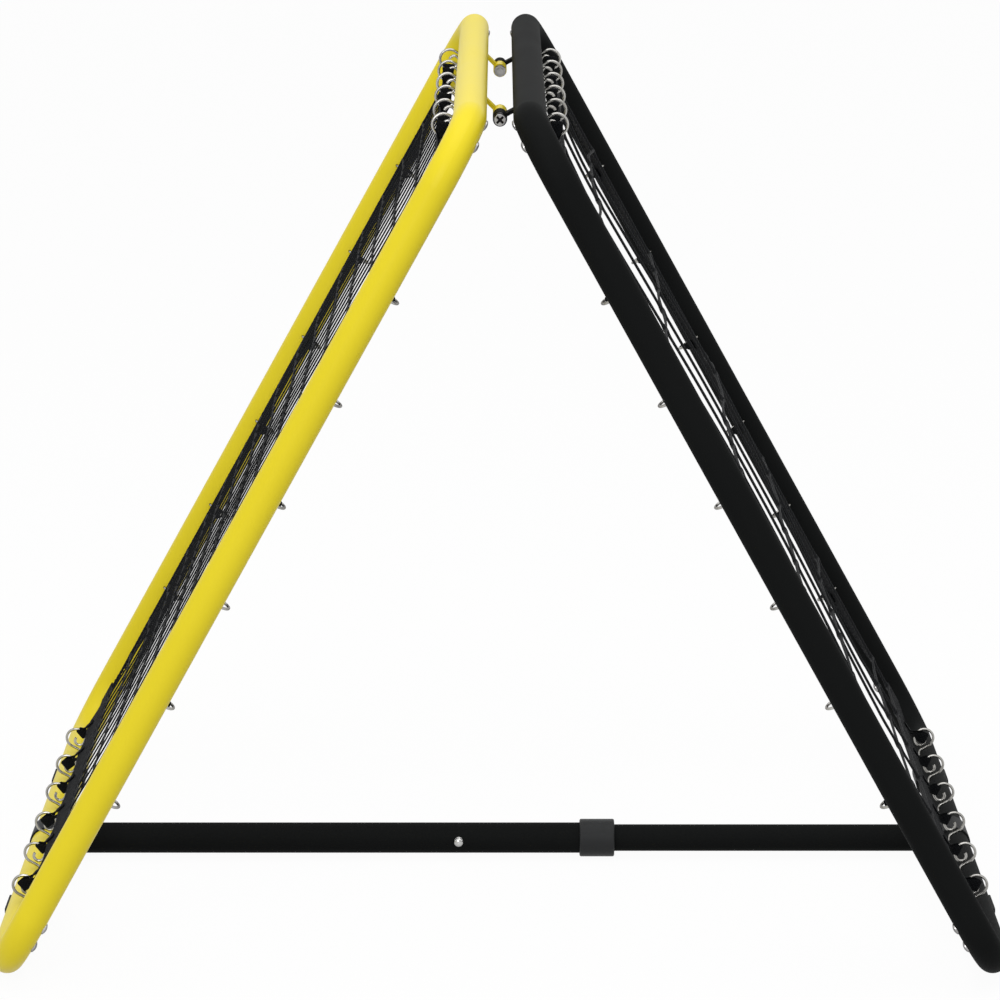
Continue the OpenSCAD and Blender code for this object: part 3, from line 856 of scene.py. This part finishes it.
# %% Straps
STRAP_STATIONS = 220
STRAP_HALF_SIDES = 8
HEM_FROM = 0.72
HEM_SWELL = 0.3


def strap_ends(plane, edge):
    """The two ends of a strap along its tube; the straps overlap at the corners."""
    if edge in ("top", "bottom"):
        reach = plane.half_w - plane.border_edge
        return -reach, reach
    return plane.border_edge, plane.length - plane.border_edge


def make_border(plane):
    """Four straps as one piece: each point of the profile lies on the pulled surface.

    The folded hems along both edges make the strap thicker there.
    """
    profile = band_profile(STRAP_HALF_SIDES)
    share = (profile[:, 0] + 1) / 2
    hem = 1 + HEM_SWELL * (np.abs(profile[:, 0]) > HEM_FROM)
    points, uvs = [], []
    for edge in EDGES:
        start, end = strap_ends(plane, edge)
        along = np.linspace(start, end, STRAP_STATIONS)[:, None]
        depth, q = strap_surface(plane, edge, along, share)
        lift = STRAP_THICKNESS / 2 * profile[:, 1] * hem
        points.append(plane.at_edge(edge, along + 0 * depth, depth, q + lift))
        closed = np.append(share, share[0]) * plane.strap_width
        uvs.append(np.stack(np.broadcast_arrays(along, closed), axis=-1))
    return make_piece(
        f"{plane.side}_webbing_border", np.array(points), np.array(uvs), BORDER_WEBBING
    )


# %% [markdown]
# ## Stitches
# A sewing machine leaves two rows of thread where the tabs are sewn on and one
# along the net's side. Lines painted on the webbing would stay flat, so each
# stitch is a short thread that rises from the webbing and dips back into it.

# %% Stitches
STITCH_LENGTH = 0.0036
STITCH_PITCH = 0.0055
STITCH_RADIUS = 0.00032
STITCH_ROWS = (0.13, 0.2, 0.86)
STITCH_RISE = (-1.2, 0.6, 0.6, -1.2)
STITCH_TAPER = (0.8, 1.0, 1.0, 0.8)
STITCH_SIDES = 4


def make_stitches(plane):
    """Rows of single stitches on both faces of the straps: short threads that rise and dip."""
    paths = []
    for edge in EDGES:
        start, end = strap_ends(plane, edge)
        starts = np.arange(start + STITCH_PITCH, end - 2 * STITCH_PITCH, STITCH_PITCH)
        for row in STITCH_ROWS:
            for face in (-1, 1):
                along = starts[:, None] + np.linspace(0, STITCH_LENGTH, len(STITCH_RISE))
                depth, q = strap_surface(plane, edge, along, row)
                rise = STRAP_THICKNESS / 2 + STITCH_RADIUS * np.array(STITCH_RISE)
                paths.append(plane.at_edge(edge, along, depth, q + face * rise))
    paths = np.concatenate(paths)
    radii = np.broadcast_to(STITCH_RADIUS * np.array(STITCH_TAPER), paths.shape[:2])
    points, uv = tube_points(paths, radii, plane.out, STITCH_SIDES)
    return make_piece(f"{plane.side}_border_stitches", points, uv, STITCH_THREAD)


for side, plane in PLANES.items():
    border = make_border(plane)
    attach(border, f"{side}_frame")
    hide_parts(f"{side}_net_border")
    stitches = make_stitches(plane)
    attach(stitches, f"{side}_frame")

# %% [markdown]
# ## The tabs on the hooks
# A short webbing tab loops through each ring and is sewn to both faces of the
# border. It runs straight from the ring's centre to the border's edge. Round
# the wire its width lies along the wire, and on the border it lies flat, so
# each leg makes a quarter twist on the way. Some tabs hang loose and cover the
# middle of their rings: every second one on the yellow frame, fewer on the black.

# %% Where each tab runs
TAB_WIDTH = 0.0105
TAB_THICKNESS = 0.0014
TAB_SLACK = 0.0016
LOOSE_TAB_SLACK = 0.009
LOOSE_TABS = {"yellow": 2, "black": 5}
TAB_SEWN = 0.009
TAB_GAP = 0.0004
TWIST_PAST_EDGE = 0.001
LEG_STATIONS = 18
BEND_STATIONS = 11
OFF_WIRE = WIRE_THICKNESS / 2 + TAB_GAP + TAB_THICKNESS / 2
OFF_STRAP = (1 + HEM_SWELL) * STRAP_THICKNESS / 2 + TAB_THICKNESS / 2


def tab_ways(plane, edge):
    """The straight way of each tab, in depth and q, and where it bends round the wire.

    LOOSE_TABS says that every so many tabs are loose: their bend hangs back
    from the wire by more slack.
    """
    along, centre_depth, centre_q = (MARKS[plane.side, edge][:, i, None] for i in range(3))
    edge_q = strap_surface(plane, edge, along, 0.0)[1]
    slope = (edge_q - centre_q) / (plane.border_edge - centre_depth)
    way_depth = 1 / np.hypot(1, slope)
    way_q = slope * way_depth
    slack = np.full(along.shape, TAB_SLACK)
    slack[:: LOOSE_TABS[plane.side]] = LOOSE_TAB_SLACK
    bend_depth = centre_depth + (RING_RADIUS - slack) * way_depth
    bend_q = centre_q + (RING_RADIUS - slack) * way_q
    return along, (way_depth, way_q), (bend_depth, bend_q)


print("a leg stands", round(1000 * OFF_WIRE, 2), "mm off its middle line at the wire")
print("and", round(1000 * OFF_STRAP, 2), "mm on the border")


# %% One loop of webbing per hook
def tab_legs(plane, edge, along, way, bend):
    """Both legs of each tab, as along, depth, q and the turn of its width.

    A leg stands off the middle line by a distance along a direction that turns
    from along the tube, at the wire, to outwards, on the border.
    """
    (way_depth, way_q), (bend_depth, bend_q) = way, bend
    down = np.linspace(1, 0, LEG_STATIONS)
    depth = bend_depth + (plane.border_edge + TAB_SEWN - bend_depth) * down
    share = np.clip((depth - plane.border_edge) / plane.strap_width, 0, 1)
    strap_q = strap_surface(plane, edge, along, share)[1]
    free_q = bend_q + way_q / way_depth * (depth - bend_depth)
    middle_q = np.where(depth > plane.border_edge, strap_q, free_q)
    twist_end = plane.border_edge + TWIST_PAST_EDGE
    turn = smoothstep((depth - bend_depth) / (twist_end - bend_depth))
    off = OFF_WIRE + (OFF_STRAP - OFF_WIRE) * turn
    angle = turn * np.pi / 2
    aside, lift = off * np.cos(angle), off * np.sin(angle)
    first = np.stack([along + aside, depth, middle_q + lift, angle])
    second = np.stack([along - aside, depth, middle_q - lift, angle])
    return first, second[:, :, ::-1]


def tab_bends(along, way, bend):
    """The half circle of each tab round the wire, in the same four rows."""
    angle = np.linspace(0, np.pi, BEND_STATIONS)[None, 1:-1]
    reach = OFF_WIRE * np.sin(angle)
    flat = np.zeros((len(along), BEND_STATIONS - 2))
    return np.stack(
        [along + OFF_WIRE * np.cos(angle), bend[0] - reach * way[0], bend[1] - reach * way[1], flat]
    )


def make_tabs(plane):
    """Each loop goes up one leg, round the wire and down the other leg.

    The band's width is square to its way, and turns by a quarter between the
    wire and the border.
    """
    paths, widths = [], []
    for edge in EDGES:
        along, way, bend = tab_ways(plane, edge)
        first, second = tab_legs(plane, edge, along, way, bend)
        loop = np.concatenate([first, tab_bends(along, way, bend), second], axis=2)
        paths.append(plane.at_edge(edge, *loop[:3]))
        turned = loop[3, :, :, None]
        along_way, depth_way = plane.edge_ways[edge]
        at_wire = way[0][..., None] * plane.out - way[1][..., None] * depth_way
        widths.append(np.cos(turned) * at_wire - np.sin(turned) * along_way)
    points, uv = band_points(
        np.concatenate(paths), np.concatenate(widths), TAB_WIDTH, TAB_THICKNESS
    )
    return make_piece(f"{plane.side}_hook_tabs", points, uv, BORDER_WEBBING)


for side, plane in PLANES.items():
    tabs = make_tabs(plane)
    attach(tabs, f"{side}_frame")
    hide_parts(f"{side}_net_loops")

# %% [markdown]
# ## The nets
# A net is two families of cords that meet in knots. A plane with a wireframe
# modifier would be quicker, but its cords would be square and have no knots, so
# each cord is a tube of its own. Both families are drawn through one
# displacement, a sum of slow waves that dies out at the border, so the net lies
# slightly uneven and its cords still meet. A knot is a swelling of both cords
# where they cross.

# %% How a net hangs
NET_RUN = 0.07
DOWN_WAVES = ((17, 9), (11, -5))
ACROSS_WAVES = ((-6, 19), (4, 13))
SAG_CREST = 0.39
SAG_PERIOD = 0.7
SAG_RIPPLE = 0.3
RIPPLE_TURNS = (14, 12)


def ripple(waves, t, w, phase):
    """The product of two slow waves, each with its turns in radians per metre of w and of t."""
    (sine_w, sine_t), (cosine_w, cosine_t) = waves
    return np.sin(sine_w * w + sine_t * t + phase) * np.cos(cosine_w * w + cosine_t * t)


def net_shift(plane, t, w, uneven, sag, phase):
    """Moves points of the flat net: slow waves down, across and out, faded at the border."""
    half_t = plane.length / 2 - plane.mesh_edge
    half_w = plane.half_w - plane.mesh_edge
    inside = np.minimum(half_t - np.abs(t - plane.length / 2), half_w - np.abs(w))
    fade = smoothstep(inside / NET_RUN)
    shift_t = uneven * fade * ripple(DOWN_WAVES, t, w, phase)
    shift_w = uneven * fade * ripple(ACROSS_WAVES, t, w, 2 * phase)
    wave = np.cos(2 * np.pi * (t - SAG_CREST) / SAG_PERIOD)
    turns_w, turns_t = RIPPLE_TURNS
    dents = SAG_RIPPLE * np.sin(turns_w * w + phase) * np.sin(turns_t * t)
    shift_q = sag * fade * (wave + dents)
    return t + shift_t, w + shift_w, shift_q


def cord_family(plane, places, crossings, upright, thickness, step, knot, net_way):
    """Paths and radii of parallel cords: each runs from border to border at its own place.

    knot says how much a cord swells at a crossing and over what reach. net_way
    holds the last three arguments of net_shift.
    """
    if upright:
        span = (plane.mesh_edge, plane.length - plane.mesh_edge)
    else:
        span = (plane.mesh_edge - plane.half_w, plane.half_w - plane.mesh_edge)
    sewn = STRAP_THICKNESS
    run = np.linspace(span[0] - sewn, span[1] + sewn, int((span[1] - span[0]) / step))
    run, place = np.broadcast_arrays(run[None, :], np.asarray(places)[:, None])
    t, w = (run, place) if upright else (place, run)
    paths = plane.place(*net_shift(plane, t, w, *net_way))
    to_knot = np.abs(run[..., None] - np.asarray(crossings)).min(-1)
    swell, reach = knot
    radii = thickness / 2 * (1 + swell * np.exp(-((to_knot / reach) ** 2)))
    return paths, radii


def make_net(plane, upright_at, level_at, thickness, step, sides, knot, net_way):
    """Both families of cords as one piece."""
    families = [
        cord_family(plane, upright_at, level_at, True, thickness, step, knot, net_way),
        cord_family(plane, level_at, upright_at, False, thickness, step, knot, net_way),
    ]
    stations = min(paths.shape[1] for paths, _ in families)
    swept = []
    for paths, radii in families:
        keep = np.linspace(0, paths.shape[1] - 1, stations).round().astype(int)
        swept.append(tube_points(paths[:, keep], radii[:, keep], plane.out, sides))
    points, uv = (np.concatenate(parts) for parts in zip(*swept))
    return make_piece(f"{plane.side}_netting", points, uv, NET_CORD)


# %% [markdown]
# ## The fine net on the yellow frame
# This net is tight and close, so it moves little from its plane. Its cords
# share out the space inside the border, so all meshes stay alike when the frame
# is resized.

# %% The fine net on the yellow frame
FINE_CORD = 0.0018
FINE_MESHES = 17
FINE_KNOT = (0.55, 0.0022)
FINE_WAY = (0.0025, 0.002, 0.6)

yellow = PLANES["yellow"]
fine_share = np.arange(FINE_MESHES + 1) / FINE_MESHES - 0.5
fine_width = 2 * (yellow.half_w - yellow.mesh_edge) - FINE_CORD
fine_length = yellow.length - 2 * yellow.mesh_edge - FINE_CORD
fine_net = make_net(
    yellow,
    upright_at=fine_share * fine_width,
    level_at=fine_share * fine_length + yellow.length / 2,
    thickness=FINE_CORD,
    step=0.0042,
    sides=6,
    knot=FINE_KNOT,
    net_way=FINE_WAY,
)
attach(fine_net, "yellow_frame")
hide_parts("yellow_net")
print("fine mesh", round(1000 * fine_width / FINE_MESHES, 1), "mm")

# %% [markdown]
# ## The coarse net on the black frame
# This net has thicker cord, larger knots and meshes about three times as wide,
# and it hangs looser. It is cut from a larger net: its upright cords are spaced
# from the middle and its level cords from the top, so the last row at each
# border is narrower.

# %% The coarse net on the black frame
COARSE_CORD = 0.0026
COARSE_PITCH = 0.118
COARSE_FIRST = 0.073
COARSE_KNOT = (0.85, 0.0045)
COARSE_WAY = (0.006, 0.0042, 1.9)

black = PLANES["black"]
side_cords = int((black.half_w - black.mesh_edge) / COARSE_PITCH)
edge_w = black.half_w - black.mesh_edge - COARSE_CORD / 2
edge_t = black.mesh_edge + COARSE_CORD / 2
upright_cords = np.arange(-side_cords, side_cords + 1) * COARSE_PITCH
level_cords = np.arange(
    black.mesh_edge + COARSE_FIRST, black.length - black.mesh_edge - 2 * COARSE_CORD, COARSE_PITCH
)
coarse_net = make_net(
    black,
    upright_at=np.concatenate([[-edge_w], upright_cords, [edge_w]]),
    level_at=np.concatenate([[edge_t], level_cords, [black.length - edge_t]]),
    thickness=COARSE_CORD,
    step=0.0025,
    sides=8,
    knot=COARSE_KNOT,
    net_way=COARSE_WAY,
)
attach(coarse_net, "black_frame")
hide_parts("black_net")
print("coarse mesh", 1000 * COARSE_PITCH, "mm")
